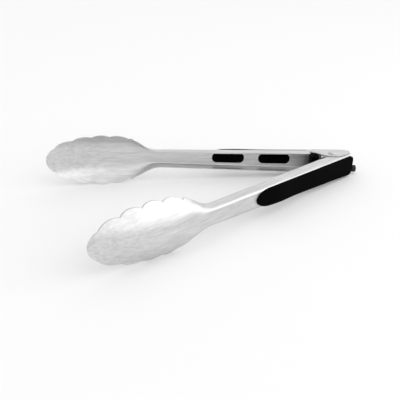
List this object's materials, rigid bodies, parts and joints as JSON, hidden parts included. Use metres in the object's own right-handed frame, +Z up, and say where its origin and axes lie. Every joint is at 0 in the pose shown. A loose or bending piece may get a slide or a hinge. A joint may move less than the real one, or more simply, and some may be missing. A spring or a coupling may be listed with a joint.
{
  "type": "kitchen tongs",
  "caption": "Sprung kitchen tongs with scalloped dished heads, black handle pads and a pull lock, lying open on one side.",
  "frame": {"origin": "Middle of the footprint on the table the tongs lie on, z = 0 at the table.", "axes": "+X from the heads toward the hinge end along the middle line of the open tongs, +Y toward the far arm, +Z up. The tongs lie on their side: both heads and the lower rivet head touch z = 0, so the pivot pin leans 3.32 degrees from +Z toward +X."},
  "size_m": [0.3011, 0.1812, 0.0516],
  "materials": {
    "brushed_steel": "stainless sheet brushed along the arm",
    "grip_rubber": "satin black moulded rubber",
    "bright_steel": "turned steel, smooth",
    "blackened_steel": "blackened steel pin",
    "spring_steel": "drawn spring wire",
    "black_plastic": "black moulded nylon",
    "grey_plastic": "dark grey moulded nylon"
  },
  "bodies": {
    "near_arm_body": {"near_arm": "brushed_steel", "near_grip": "grip_rubber", "pivot_rivet": "bright_steel", "spacer_sleeve": "bright_steel", "return_spring": "spring_steel"},
    "far_arm_body": {"far_arm": "brushed_steel", "far_grip": "grip_rubber"},
    "lock_body": {"lock_slide": "black_plastic", "lock_pin": "blackened_steel", "pull_rod": "bright_steel", "pull_knob": "grey_plastic"}
  },
  "joints": [
    {"name": "arm_hinge", "type": "hinge", "parent": "near_arm_body", "child": "far_arm_body", "pos_m": [0.12073, 0, 0.01323], "axis": [0.058, 0, 0.9983], "range_deg": [0, 35.6], "stiffness_Nm_per_rad": 0.9, "springref_deg": -20.05, "deforming": ["return_spring"]},
    {"name": "lock_pull", "type": "slide", "parent": "far_arm_body", "child": "lock_body", "axis": [0.9237, -0.3795, -0.0536], "range_m": [0, 0.006]}
  ]
}
